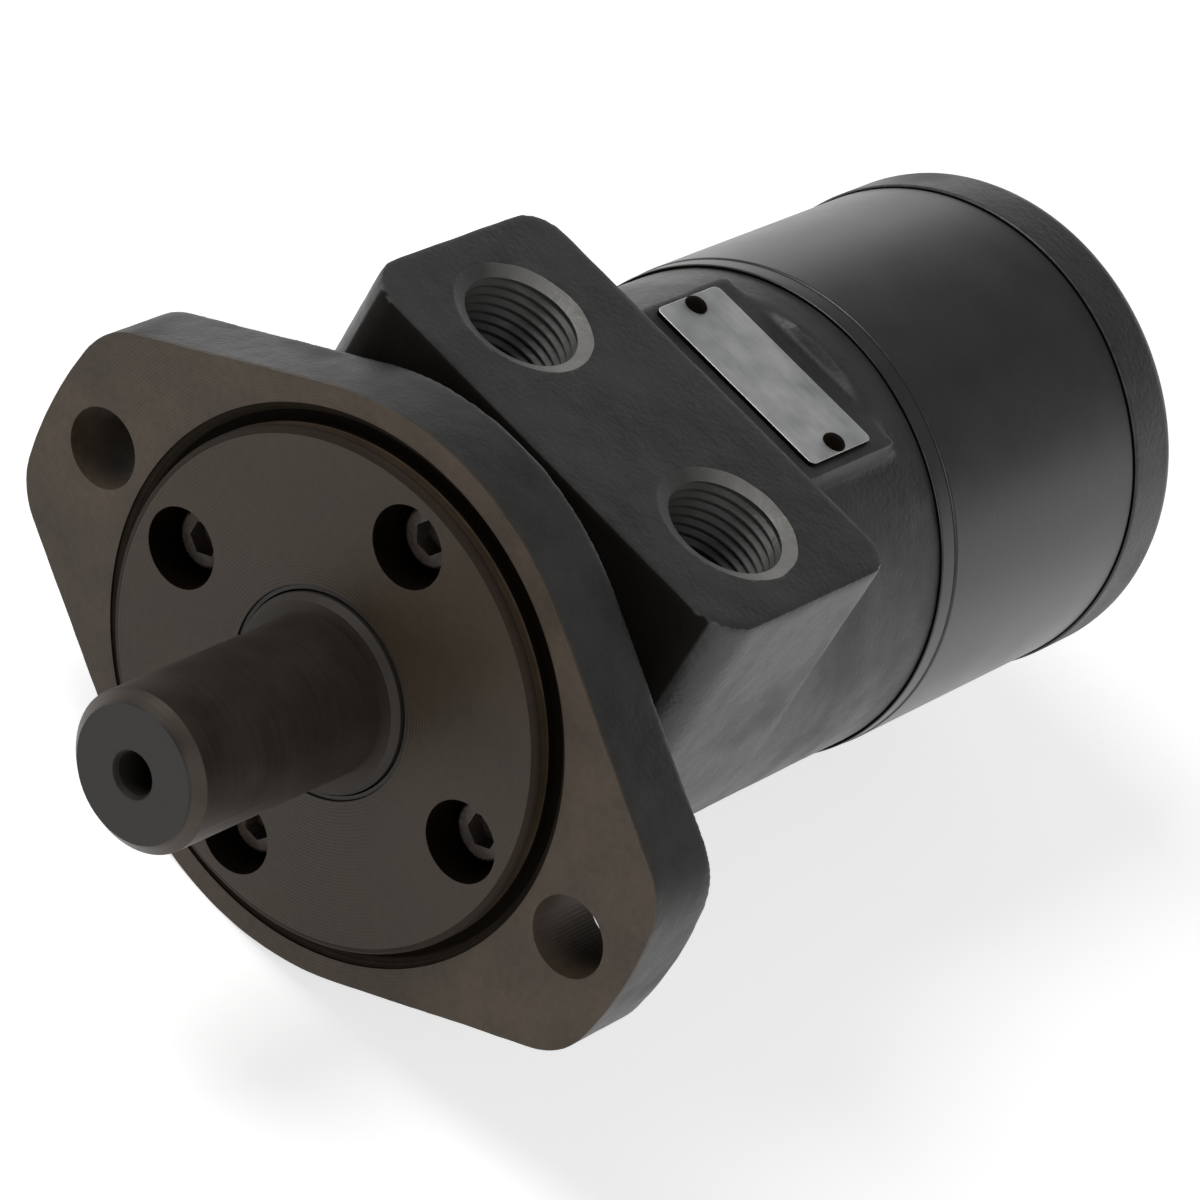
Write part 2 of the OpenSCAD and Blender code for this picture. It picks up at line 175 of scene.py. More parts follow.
class Finish:
    """One material. node() makes any node, and the other methods are the patterns used most."""

    def __init__(self, name, **constants):
        self.material = bpy.data.materials.new(name)
        self.material.use_nodes = True
        self.tree = self.material.node_tree
        self.shader = self.tree.nodes["Principled BSDF"]
        for socket, value in constants.items():
            self.shader.inputs[socket.replace("_", " ")].default_value = value
        self.place = self.node("ShaderNodeTexCoord", output="Object")

    def node(self, kind, settings=None, inputs=None, output=0):
        made = self.tree.nodes.new(kind)
        for name, value in (settings or {}).items():
            if name == "stops":
                self.set_stops(made.color_ramp, value)
            else:
                setattr(made, name, value)
        for name, value in (inputs or {}).items():
            self.plug(made.inputs[name], value)
        return Field(self, made.outputs[output])

    def plug(self, socket, value):
        if isinstance(value, Field):
            self.tree.links.new(value.socket, socket)
        else:
            socket.default_value = value

    def set_stops(self, ramp, stops):
        while len(ramp.elements) < len(stops):
            ramp.elements.new(1.0)
        for element, (position, colour) in zip(ramp.elements, stops):
            element.position, element.color = position, (*colour, 1)

    def noise(self, size, detail=2.0, stretch=None):
        """Soft lumps of about size millimetres, from 0 to 1. stretch squeezes them along an axis."""
        place = self.place
        if stretch:
            place = self.node("ShaderNodeMapping", {}, {"Vector": place, "Scale": stretch})
        inputs = {"Vector": place, "Scale": 1 / (size * MM), "Detail": detail}
        return self.node("ShaderNodeTexNoise", {}, inputs)

    def ramp(self, factor, stops):
        return self.node("ShaderNodeValToRGB", {"stops": stops}, {0: factor})

    def mix(self, factor, first, second):
        colours = [c if isinstance(c, Field) else (*c, 1) for c in (first, second)]
        inputs = {0: factor, 6: colours[0], 7: colours[1]}
        return self.node("ShaderNodeMix", {"data_type": "RGBA"}, inputs, output=2)

    def axes(self):
        """X, Y and Z of the point, in millimetres."""
        split = self.node("ShaderNodeSeparateXYZ", {}, {0: self.place}).socket.node
        return [Field(self, output) * (1 / MM) for output in split.outputs]

    def radius(self, x, z):
        """Distance from the shaft's axis, in millimetres."""
        return x.math("POWER", x * x + z * z, 0.5)

    def marked(self, attribute):
        """How strongly a mesh attribute marks this point, from 0 to 1."""
        return self.node("ShaderNodeAttribute", {"attribute_name": attribute}, {}, output="Fac")

    def worn(self):
        """High on the edges of a piece, broken up so that paint wears off in spots."""
        return (self.marked("wear") + self.marked("cast_wear")) * self.noise(1.7, 5).step(0.42, 0.7)

    def with_painted_shade(self, colour, roughness, metallic):
        """The same finish, painted dark and dull where the attributes mark painted shade.

        The painted shade counts as a metal, because a dark metal has no pale sheen.
        """
        grime = self.marked("grime") + self.marked("cast_grime")
        unshaded = 1 - grime
        return self.mix(grime, colour, PAINTED_SHADE_COLOUR), roughness * unshaded + 0.85 * grime, metallic * unshaded + grime

    def surface(self, colour=None, roughness=None, metallic=None, height=None, depth=0.1):
        """Plugs the finish into its shader. height is a pattern from 0 to 1, depth millimetres deep."""
        named = {"Base Color": colour, "Roughness": roughness, "Metallic": metallic}
        if height is not None:
            inputs = {"Strength": 1.0, "Distance": depth * MM, "Height": height}
            named["Normal"] = self.node("ShaderNodeBump", {}, inputs)
        for socket, value in named.items():
            if value is not None:
                self.plug(self.shader.inputs[socket], value)
        return self.material


print("Field and Finish are ready")

# %% [markdown]
# ## The paint
#
# The whole motor is sprayed one thin coat of satin black after it is assembled. What differs is the
# metal under it. On the casting the paint lies over sandy grain, and it looks mottled. On the
# turned ring it is almost smooth. On the flange's machined places it is so thin that the iron
# shows through as a warm brown, and the fine rings of the lathe tool still catch the light. One
# material covers the flange, and masks that are sums on the point's place say where it is machined.

# %% Black paint over a casting
BLACK, GREY_BLACK, BARE_IRON = (0.017, 0.017, 0.0165), (0.034, 0.034, 0.033), (0.15, 0.145, 0.135)
# Cut iron, made lighter as a painted highlight for the port mouths and threads.
HIGHLIT_CUT_IRON = (0.27, 0.265, 0.25)
# Near black, the colour of painted shade in holes, creases, under ledges and between parts.
PAINTED_SHADE_COLOUR = (0.0095, 0.0068, 0.0046)


def cast_pattern(finish):
    """Colour, roughness and height of paint over sandy grain."""
    grain = finish.noise(0.9, 3)
    lumps = finish.noise(4.5, 3)
    stains = finish.noise(16, 4)
    shade = stains * 0.5 + lumps * 0.3 + grain * 0.2
    colour = finish.ramp(shade, [(0.36, BLACK), (0.62, GREY_BLACK)])
    roughness = 0.36 + 0.14 * grain + 0.16 * stains.step(0.4, 0.7)
    return colour, roughness, grain * 0.6 + lumps * 0.4


def casting_paint():
    finish = Finish("casting_paint")
    colour, roughness, height = cast_pattern(finish)
    worn = finish.worn() * 0.4
    # Bare cut iron, with a painted highlight in the port mouths and a little painted light in the holes.
    bare_and_highlit = finish.marked("machined") * (0.7 + 0.5 * finish.noise(2.5, 3))
    colour = finish.mix(bare_and_highlit, finish.mix(worn, colour, BARE_IRON), HIGHLIT_CUT_IRON)
    colour, roughness, metallic = finish.with_painted_shade(colour, roughness, worn * 0.5 + bare_and_highlit * 0.4)
    return finish.surface(colour, roughness, metallic, height, depth=0.16)


FINISHES = {}


def add_finish(make):
    """Makes a finish, keeps it under its function's name and says how many nodes it took."""
    name = make.__name__
    FINISHES[name] = make()
    print(f"{name}: {len(FINISHES[name].node_tree.nodes)} nodes")


add_finish(casting_paint)

# %% Black paint over turned steel
def smooth_paint():
    finish = Finish("smooth_paint")
    haze = finish.noise(11, 4)
    grain = finish.noise(0.7, 2)
    turning = finish.noise(0.35, 1, stretch=(0.02, 1, 0.02))
    worn = finish.worn()
    colour = finish.ramp(haze * 0.7 + grain * 0.3, [(0.38, BLACK), (0.62, (0.027, 0.027, 0.0265))])
    colour = finish.mix(worn * 0.35, colour, BARE_IRON)
    colour, roughness, metallic = finish.with_painted_shade(colour, 0.27 + 0.1 * haze + 0.06 * grain, worn * 0.5)
    return finish.surface(colour, roughness, metallic, grain * 0.5 + turning * 0.5, depth=0.02)


add_finish(smooth_paint)

# %% Thin paint over the flange's machined front
BROWN, PALE_BROWN, DARK_BROWN = (0.040, 0.027, 0.0165), (0.078, 0.057, 0.038), (0.019, 0.0115, 0.004)
LATHE_FEED = 0.55


def flange_paint():
    finish = Finish("flange_paint", Specular_IOR_Level=0.32)
    x, y, z = finish.axes()
    cast_colour, cast_roughness, cast_height = cast_pattern(finish)
    radius = finish.radius(x, z)
    on_front = y.step(0.7, 0.1)
    in_hole = finish.radius(x.math("ABSOLUTE", x) - hole_x, z).step(hole_r + 0.4, hole_r + 0.1)
    in_groove = radius.step(RELIEF_R + 0.6, RELIEF_R + 0.2) * y.step(2.2, 1.8)
    on_pilot = y.step(-0.3, -0.6)
    machined = x.math("MAXIMUM", x.math("MAXIMUM", on_front, in_hole), in_groove)
    blotches = finish.noise(13, 4)
    speckle = finish.noise(1.4, 3)
    tool_rings = x.math("SINE", radius * (2 * math.pi / LATHE_FEED))
    brown = finish.ramp(blotches * 0.7 + speckle * 0.3, [(0.36, BROWN), (0.64, PALE_BROWN)])
    brown = finish.mix(on_pilot * 0.6, brown, DARK_BROWN)
    worn = finish.worn()
    colour = finish.mix(worn * 0.3, finish.mix(machined, cast_colour, brown), BARE_IRON)
    roughness = cast_roughness * (1 - machined) + (0.42 + 0.16 * blotches) * machined
    colour, roughness, metallic = finish.with_painted_shade(colour, roughness, worn * 0.5)
    machined_height = 0.1 * tool_rings + 0.25 * speckle
    height = cast_height * (1 - machined) + machined_height * machined
    return finish.surface(colour, roughness, metallic, height, depth=0.12)


add_finish(flange_paint)

# %% [markdown]
# ## Bare metal, rubber and bronze
#
# The shaft is dark because it is hardened and oiled. It was turned, so its scratches run round it:
# a noise pattern that is squeezed along the axis and stretched across it gives just that. The
# screws are blacked and have caught a little rust. The name plate is rolled aluminium, whose grain
# runs along the plate.

# %% Oiled, hardened steel
OILED_STEEL, PALE_OILED_STEEL, SAWN_END = (0.036, 0.028, 0.022), (0.068, 0.055, 0.044), (0.024, 0.023, 0.022)
END_HOLE_R = 3.6


def shaft_steel():
    finish = Finish("shaft_steel")
    turning = finish.noise(0.5, 2, stretch=(0.03, 1, 0.03))
    film = finish.noise(9, 4)
    x, y, z = finish.axes()
    radius = finish.radius(x, z)
    dark = finish.ramp(film * 0.6 + turning * 0.4, [(0.36, OILED_STEEL), (0.66, PALE_OILED_STEEL)])
    on_end = y.step(shaft_low.y + 0.5, shaft_low.y + 0.1)
    colour = finish.mix(on_end * 0.8, dark, SAWN_END)
    # Painted shade: the end hole and the shaft close to the flange are painted near black and dull.
    hole_and_root_shade = radius.step(END_HOLE_R + 0.6, END_HOLE_R) + y.step(-8, -3) * 0.6
    colour = finish.mix(hole_and_root_shade, colour, PAINTED_SHADE_COLOUR)
    roughness = (0.40 + 0.16 * film) * (1 - hole_and_root_shade) + 0.7 * hole_and_root_shade
    return finish.surface(colour, roughness, 0.55 + 0.2 * turning - 0.4 * hole_and_root_shade, turning, depth=0.02)


add_finish(shaft_steel)

# %% Blacked screws
def screw_steel():
    finish = Finish("screw_steel")
    grain = finish.noise(0.8, 3)
    rust = finish.noise(3.2, 4).step(0.5, 0.68)
    black = finish.ramp(grain, [(0.3, (0.06, 0.05, 0.042)), (0.7, (0.11, 0.093, 0.08))])
    colour = finish.mix(rust * 0.45, black, (0.085, 0.036, 0.018))
    colour, roughness, metallic = finish.with_painted_shade(colour, 0.4 + 0.3 * rust, 0.5 - 0.4 * rust)
    return finish.surface(colour, roughness, metallic, grain, depth=0.03)


add_finish(screw_steel)

# %% Ground steel, bronze and rubber inside the motor
def bright_steel():
    finish = Finish("bright_steel", Metallic=1.0)
    grind = finish.noise(0.25, 2, stretch=(1, 0.06, 1))
    film = finish.noise(7, 3)
    colour = finish.ramp(film, [(0.3, (0.42, 0.42, 0.41)), (0.7, (0.58, 0.58, 0.57))])
    return finish.surface(colour, 0.2 + 0.14 * grind, None, grind, depth=0.01)


def cage_bronze():
    finish = Finish("cage_bronze", Metallic=1.0)
    film = finish.noise(3, 3)
    colour = finish.ramp(film, [(0.3, (0.48, 0.31, 0.14)), (0.7, (0.66, 0.46, 0.22))])
    return finish.surface(colour, 0.3 + 0.2 * film, None, film, depth=0.02)


def seal_rubber():
    finish = Finish("seal_rubber")
    film = finish.noise(2.2, 3)
    colour = finish.ramp(film, [(0.3, (0.016, 0.015, 0.0145)), (0.7, (0.036, 0.033, 0.03))])
    return finish.surface(colour, 0.5 + 0.25 * film, None, finish.noise(0.5, 2), depth=0.03)


for make in (bright_steel, cage_bronze, seal_rubber):
    add_finish(make)

# %% Rolled aluminium for the bare name plate
TARNISHED, BRIGHT = (0.48, 0.49, 0.495), (0.72, 0.725, 0.72)


def plate_metal():
    finish = Finish("plate_metal", Metallic=1.0)
    grain = finish.noise(0.3, 2, stretch=(0.04, 1, 1))
    tarnish = finish.noise(6, 4)
    colour = finish.ramp(tarnish * 0.7 + grain * 0.3, [(0.32, TARNISHED), (0.66, BRIGHT)])
    colour, roughness, _ = finish.with_painted_shade(colour, 0.42 + 0.16 * grain + 0.1 * tarnish, 1.0)
    return finish.surface(colour, roughness, None, grain, depth=0.012)


add_finish(plate_metal)
for part in frame["record"]["subparts"]:
    frame["nodes"][part["node"]].material_slots[0].material = FINISHES[part["material_slot"]]

# %% [markdown]
# ## Four ways to start a shape
#
# Nearly every piece here begins as a round bar, a block, a profile turned about the shaft, or
# several of these wrapped in one skin. Holes are cut with a Boolean modifier that is applied at
# once. After the last cut the sharp edges get a narrow bevel, because no edge on a real part is
# perfectly sharp, and a bevel catches a line of light. The bevel's faces are marked as worn.

# %% Bars, blocks and turned profiles
def bar(bm, radius, front, back, x=0.0, z=0.0, segments=96):
    """A round bar along Y."""
    place = Matrix.Translation((x, (front + back) / 2, z)) @ Matrix.Rotation(math.pi / 2, 4, "X")
    bmesh.ops.create_cone(
        bm, cap_ends=True, segments=segments, radius1=radius, radius2=radius, depth=back - front,
        matrix=place,
    )


def block(bm, low, high):
    """A box between two corners."""
    low, high = Vector(low), Vector(high)
    place = Matrix.Translation((low + high) / 2) @ Matrix.Diagonal((*(high - low), 1))
    bmesh.ops.create_cube(bm, size=1, matrix=place)


def turned(profile, segments=128, axis=(0, 1, 0)):
    """A profile of (radius, height) points, spun about an axis through the origin."""
    bm = bmesh.new()
    along = Vector(axis)
    points = [bm.verts.new(Vector((radius, 0, 0)) + along * height) for radius, height in profile]
    closed = profile[0][0] > 0
    pairs = list(zip(points, points[1:])) + ([(points[-1], points[0])] if closed else [])
    edges = [bm.edges.new(pair) for pair in pairs]
    bmesh.ops.spin(
        bm, geom=points + edges, cent=(0, 0, 0), axis=axis, angle=2 * math.pi, steps=segments, use_merge=True,
    )
    bmesh.ops.remove_doubles(bm, verts=bm.verts, dist=0.0001)
    bmesh.ops.recalc_face_normals(bm, faces=bm.faces)
    return bm


# %% Several shapes in one
def gather(*shapes):
    """One bmesh that holds all these shapes side by side, or one inside another. It frees them."""
    whole = bmesh.new()
    for shape in shapes:
        mesh = bpy.data.meshes.new("part")
        shape.to_mesh(mesh)
        shape.free()
        whole.from_mesh(mesh)
        bpy.data.meshes.remove(mesh)
    return whole


# %% Cutting and joining
def evaluated(bm, *modifiers):
    """bm after some modifiers, each given as (type, settings). A bmesh setting becomes a helper object."""
    helpers = []

    def as_object(shape):
        mesh = bpy.data.meshes.new("helper")
        shape.to_mesh(mesh)
        shape.free()
        helpers.append(bpy.data.objects.new("helper", mesh))
        bpy.context.scene.collection.objects.link(helpers[-1])
        return helpers[-1]

    holder = as_object(bm)
    for kind, settings in modifiers:
        modifier = holder.modifiers.new(kind, kind)
        for name, value in settings.items():
            setattr(modifier, name, as_object(value) if isinstance(value, bmesh.types.BMesh) else value)
    graph = bpy.context.evaluated_depsgraph_get()
    result = bmesh.new()
    result.from_object(holder, graph)
    for helper in helpers:
        mesh = helper.data
        bpy.data.objects.remove(helper)
        bpy.data.meshes.remove(mesh)
    return result


def combined(bm, operation, others):
    settings = {"operation": operation, "solver": "EXACT"}
    return evaluated(bm, *[("BOOLEAN", {"object": other, **settings}) for other in others])


def cut(bm, *tools):
    return combined(bm, "DIFFERENCE", tools)


def join(bm, *others):
    return combined(bm, "UNION", others)


# %% Softening edges
def sharp_edges(bm, angle=35.0):
    return [e for e in bm.edges if e.is_manifold and e.calc_face_angle(0.0) > math.radians(angle)]


def soften(bm, width, segments=2, keep=lambda edge: True, wear=1.0):
    """Bevels the sharp edges that keep() accepts, and marks the new faces as worn."""
    bmesh.ops.dissolve_degenerate(bm, edges=bm.edges, dist=0.0005)
    layer = bm.faces.layers.float.get("wear") or bm.faces.layers.float.new("wear")
    made = bmesh.ops.bevel(
        bm, geom=[edge for edge in sharp_edges(bm) if keep(edge)], offset=width, offset_type="OFFSET",
        affect="EDGES", segments=segments, profile=0.5, material=-1, clamp_overlap=True,
    )
    for face in made["faces"]:
        face[layer] = wear
    return bm


def middle(edge):
    return (edge.verts[0].co + edge.verts[1].co) / 2


def mark(bm, attribute, chosen):
    """Sets a face attribute to what chosen(centre, normal) returns, from 0 to 1, where that isn't 0."""
    layer = bm.faces.layers.float.get(attribute) or bm.faces.layers.float.new(attribute)
    bm.normal_update()
    for face in bm.faces:
        strength = float(chosen(face.calc_center_median(), face.normal))
        if strength > 0:
            face[layer] = strength
    return bm


# %% [markdown]
# ## From a shape to a piece
#
# Every shape ends the same way: it is scaled to metres, shaded smooth, given its finish, and handed
# to the frame. Smooth shading averages the normals where a bevel meets a flat face, and that leaves
# grey streaks across the flat. A Weighted Normal modifier lets the larger face win: the flat stays
# flat, and the bevel alone carries the turn of the light.

# %% Making a piece
def piece(name, bm, body, slot, *replaced):
    """Scales a shape to metres and hands it to the frame."""
    bmesh.ops.scale(bm, vec=(MM, MM, MM), verts=bm.verts)
    mesh = bpy.data.meshes.new(name)
    bm.to_mesh(mesh)
    bm.free()
    mesh.shade_smooth()
    mesh.set_sharp_from_angle(angle=math.radians(32))
    mesh.materials.append(FINISHES[slot])
    made = bpy.data.objects.new(name, mesh)
    bpy.context.scene.collection.objects.link(made)
    normals = made.modifiers.new("flat faces stay flat", "WEIGHTED_NORMAL")
    normals.weight, normals.keep_sharp = 90, True
    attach(made, body)
    if replaced:
        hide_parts(*replaced)
    print(f"{name}: {len(mesh.polygons)} faces, rides on {body}")
    return made


# %% [markdown]
# ## Cast skin
#
# In a casting all shapes run into each other with soft fillets, and no two places are quite alike.
# So rough shapes are set into one another and wrapped in a voxel skin, which is smoothed and gently
# dented. How far a point stands out from its neighbours shows where paint rubs off, and how far it
# lies in sets the painted shade that darkens the creases. Machining comes after this with crisp
# cutters, as it does in the workshop.

# %% A cast skin
def stands_out(vertex):
    """How far a vertex stands out from the middle of its neighbours, in millimetres."""
    neighbours = [edge.other_vert(vertex).co for edge in vertex.link_edges]
    centre = sum(neighbours, Vector()) / len(neighbours)
    return (vertex.co - centre).dot(vertex.normal)


def as_cast(shapes, voxel, smoothing):
    """Wraps the shapes in one dented skin. The dents only go inwards."""
    skin = evaluated(
        shapes,
        ("REMESH", {"mode": "VOXEL", "voxel_size": voxel}),
        ("SMOOTH", {"factor": 0.5, "iterations": smoothing}),
    )
    skin.normal_update()
    wear, grime = skin.verts.layers.float.new("cast_wear"), skin.verts.layers.float.new("cast_grime")
    dents = []
    for vertex in skin.verts:
        height = stands_out(vertex)
        vertex[wear] = min(1.0, max(0.0, (height - 0.05) / 0.1))
        # Points that lie in get painted shade, up to 0.8.
        vertex[grime] = min(0.8, max(0.0, (-height - 0.02) / 0.08))
        depth = noise.noise(vertex.co / 14) * 0.10 + noise.noise(vertex.co / 3.2) * 0.06
        dents.append(vertex.normal * (min(depth, 0.1) - 0.1))
    for vertex, dent in zip(skin.verts, dents):
        vertex.co += dent
    deepest = max(dent.length for dent in dents)
    print("cast skin has", len(skin.faces), "faces, deepest dent", round(deepest, 2), "mm")
    return skin


def freshly_cut(bm, chosen):
    """Clears the cast skin's wear and painted crease shade at the points that chosen(point) accepts."""
    for name in ("cast_wear", "cast_grime"):
        layer = bm.verts.layers.float[name]
        for vertex in bm.verts:
            if chosen(vertex.co):
                vertex[layer] = 0.0


# %% [markdown]
# ## The mounting flange
#
# The flange is an iron casting. Its outline is what a tight band round some pegs would be: a large
# circle in the middle, a smaller one in each of the four corners, and a shallow arc at each end.
# A convex hull is that band. The blank is cast a little too thick, and the front is milled off, so
# that its edge is crisp. The front carries the pilot, which centres the motor. The pilot is added
# after the relief round its foot is cut: two walls in the same place would confuse the Boolean.

# %% Flange outline
CORNER_R, EDGE_ANGLE = 12.5, math.radians(32)
middle_r, end_r, flange_back = flange_high.z, flange_high.x, flange_high.y

inner, outer = middle_r - CORNER_R, end_r - CORNER_R
along_edge = math.sqrt(outer**2 - inner**2)
corner_x = inner * math.sin(EDGE_ANGLE) + along_edge * math.cos(EDGE_ANGLE)
corner_z = inner * math.cos(EDGE_ANGLE) - along_edge * math.sin(EDGE_ANGLE)


def flange_blank(front, back):
    bm = bmesh.new()
    bar(bm, middle_r, front, back, segments=160)
    for side_x in (-1, 1):
        for side_z in (-1, 1):
            bar(bm, CORNER_R, front, back, side_x * corner_x, side_z * corner_z, segments=64)
        tip = [bm.verts.new((side_x * end_r, y, 0)) for y in (front, back)]
        for sense in (-1, 1):
            bmesh.ops.spin(
                bm, geom=tip, cent=(0, 0, 0), axis=(0, 1, 0), steps=6, use_duplicate=True,
                angle=sense * math.atan2(corner_z, corner_x),
            )
    hull = bmesh.ops.convex_hull(bm, input=bm.verts)
    spare = {item for key in ("geom_interior", "geom_unused") for item in hull[key]}
    bmesh.ops.delete(bm, geom=[v for v in spare if isinstance(v, bmesh.types.BMVert)], context="VERTS")
    hull_faces = {item for item in hull["geom"] if isinstance(item, bmesh.types.BMFace)}
    bmesh.ops.delete(bm, geom=[f for f in bm.faces if f not in hull_faces], context="FACES")
    bmesh.ops.dissolve_limit(bm, angle_limit=math.radians(0.3), verts=bm.verts, edges=bm.edges)
    bmesh.ops.recalc_face_normals(bm, faces=bm.faces)
    return bm


ALLOWANCE, WELL_OUTSIDE = 1.5, 80
milled_off = bmesh.new()
block(milled_off, (-WELL_OUTSIDE, -WELL_OUTSIDE, -WELL_OUTSIDE), (WELL_OUTSIDE, 0, WELL_OUTSIDE))
flange_body = soften(flange_blank(-ALLOWANCE, flange_back), 0.8, 4)
flange = cut(as_cast(flange_body, 0.65, 3), milled_off)

# %% Pilot, groove, bore and screw holes
RELIEF_LIP, FOOT_R, RELIEF_DEPTH, PILOT_CHAMFER, PAST = 0.45, 42.8, 1.5, 1.1, 2.0
PILOT_ROOT, IN_FRONT = 6, -8
SCREW_CIRCLE_R, COUNTERBORE_R, HEAD_SEAT, SMALL_CLEAR_R = 31.9, 6.55, 8.6, 3.3
SEAL_MOUTH_R, DUST_POCKET_R, SEAL_LIP_R, SEAL_POCKET_R = 16.9, 19.5, 16.3, 21.5
DUST_POCKET_FRONT, DUST_POCKET_BACK, SEAL_POCKET_FRONT = -1.4, 2.4, 3.8

pilot_rim = [
    (pilot_r - PILOT_CHAMFER * (1 - math.sin(turn)), flange_low.y + PILOT_CHAMFER * (1 - math.cos(turn)))
    for turn in (step * math.pi / 6 for step in range(4))
]
pilot = turned([(0, flange_low.y), *pilot_rim, (pilot_r, 0), (pilot_r, PILOT_ROOT), (0, PILOT_ROOT)], 192)
relief = turned([
    (0, -PAST), (RELIEF_R, -PAST), (RELIEF_R, RELIEF_LIP), (FOOT_R, RELIEF_DEPTH), (0, RELIEF_DEPTH),
], 192)
flange = join(cut(flange, relief), pilot)
seal_bore = turned([
    (0, IN_FRONT), (SEAL_MOUTH_R, IN_FRONT), (SEAL_MOUTH_R, DUST_POCKET_FRONT),
    (DUST_POCKET_R, DUST_POCKET_FRONT), (DUST_POCKET_R, DUST_POCKET_BACK),
    (SEAL_LIP_R, DUST_POCKET_BACK), (SEAL_LIP_R, SEAL_POCKET_FRONT),
    (SEAL_POCKET_R, SEAL_POCKET_FRONT), (SEAL_POCKET_R, flange_back + PAST), (0, flange_back + PAST),
])
counterbores, screw_holes = bmesh.new(), bmesh.new()
for quarter in range(4):
    turn = quarter * math.pi / 2
    x, z = SCREW_CIRCLE_R * math.cos(turn), SCREW_CIRCLE_R * math.sin(turn)
    bar(counterbores, COUNTERBORE_R, IN_FRONT, HEAD_SEAT, x, z, segments=64)
    bar(screw_holes, SMALL_CLEAR_R, IN_FRONT, flange_back + PAST, x, z, segments=48)
for side in (-1, 1):
    bar(screw_holes, hole_r, IN_FRONT, flange_back + PAST, side * hole_x, segments=72)

flange = cut(flange, seal_bore, counterbores, screw_holes)
print("the flange has", len(flange.faces), "faces before its edges are softened")


# %% Edges and painted shade of the flange
RIM_SHADE, SLOPE_SHADE, HOLE_SHADE = 0.55, 0.6, 0.15


def on_turned_edge(edge):
    """The rims of the groove and of the holes, but nothing of the cast skin."""
    centre = middle(edge)
    near_hole = abs(math.hypot(abs(centre.x) - hole_x, centre.z) - hole_r) < 0.05
    return centre.y < RELIEF_DEPTH - 0.1 and (near_hole or math.hypot(centre.x, centre.z) < RELIEF_R + 0.05)


def in_flange_hole(centre, normal):
    """How much painted shade goes on the pilot's rim, in the relief, and in the holes."""
    radius, across, up = math.hypot(centre.x, centre.z), abs(centre.x), abs(centre.z)
    off_screw = min(abs(across - SCREW_CIRCLE_R) + up, abs(up - SCREW_CIRCLE_R) + across)
    off_bolt = math.hypot(across - hole_x, up)
    if abs(normal.y) > 0.97:
        return pilot_r < radius < FOOT_R and abs(centre.y - RELIEF_DEPTH) < 0.1
    if radius > pilot_r - PILOT_CHAMFER and centre.y < flange_low.y + PILOT_CHAMFER:
        return RIM_SHADE
    if pilot_r - 0.1 < radius < RELIEF_R + 0.1 and 0 < centre.y < RELIEF_DEPTH:
        return 1.0 if radius < FOOT_R else SLOPE_SHADE
    if centre.y > 0.4 and off_bolt < hole_r + 0.1:
        return HOLE_SHADE
    return centre.y > 0 and off_screw < COUNTERBORE_R * 1.5


def machined_flange(point):
    off_bolt = math.hypot(abs(point.x) - hole_x, point.z)
    return point.y < 0.05 or math.hypot(point.x, point.z) < RELIEF_R + 0.1 or off_bolt < hole_r + 0.3


freshly_cut(flange, machined_flange)
soften(flange, 0.28, 2, keep=on_turned_edge, wear=0.6)
mark(flange, "grime", in_flange_hole)
piece("flange_casting", flange, "casing", "flange_paint", "mounting_flange")

# %% [markdown]
# ## Socket screws
#
# A socket screw's head is knurled round its side so that fingers can turn it. Bumps in a texture
# would vanish at the rim, so the knurl is real: every second line round the head is pulled in. The
# hexagon socket is cut in, and the rim of the head is rounded by a bevel.

# %% Socket screws
SMALL_SCREW = {"head_r": 5.0, "shank_r": 2.95, "socket_width": 5.0, "knurls": 36}
LARGE_SCREW = {"head_r": 5.95, "shank_r": 3.95, "socket_width": 6.35, "knurls": 42}


def socket_screw(head_top, head_seat, shank_end, socket_depth, head_r, shank_r, socket_width, knurls):
    """A screw along Y. Its head faces the side on which head_top lies."""
    facing = 1 if head_top > head_seat else -1
    bm = bmesh.new()
    bar(bm, head_r, min(head_top, head_seat), max(head_top, head_seat), segments=2 * knurls)
    for vertex in bm.verts:
        turn = math.atan2(vertex.co.z, vertex.co.x) / math.pi * knurls
        if round(turn) % 2:
            vertex.co.x *= 0.965
            vertex.co.z *= 0.965
    rim = [e for e in bm.edges if abs(middle(e).y - head_top) < 0.01 and all(
        abs(v.co.y - head_top) < 0.01 for v in e.verts)]
    bmesh.ops.bevel(
        bm, geom=rim, offset=0.7, affect="EDGES", segments=3, profile=0.5, material=-1, clamp_overlap=True,
    )
    shank = bmesh.new()
    bar(shank, shank_r, *sorted((head_seat, shank_end)), segments=32)
    socket = bmesh.new()
    socket_ends = sorted((head_top + facing, head_top - facing * socket_depth))
    bar(socket, socket_width / math.sqrt(3), *socket_ends, segments=6)
    return cut(join(bm, shank), socket)


def ring_of(shape, angles, radius):
    """Copies of a shape at some angles round the shaft's axis. The first shape is freed."""
    whole = bmesh.new()
    mesh = bpy.data.meshes.new("copy")
    shape.to_mesh(mesh)
    shape.free()
    for angle in angles:
        before = len(whole.verts)
        whole.from_mesh(mesh)
        whole.verts.ensure_lookup_table()
        place = Matrix.Rotation(-angle, 4, "Y") @ Matrix.Translation((radius, 0, 0))
        bmesh.ops.transform(whole, matrix=place, verts=whole.verts[before:])
    bpy.data.meshes.remove(mesh)
    return whole


flange_screw_low, flange_screw_high = box_mm("flange_screws")
flange_screw = socket_screw(flange_screw_low.y, HEAD_SEAT, flange_screw_high.y, 3.0, **SMALL_SCREW)
screws = ring_of(flange_screw, [quarter * math.pi / 2 for quarter in range(4)], SCREW_CIRCLE_R)
piece("flange_cap_screws", screws, "casing", "screw_steel", "flange_screws")
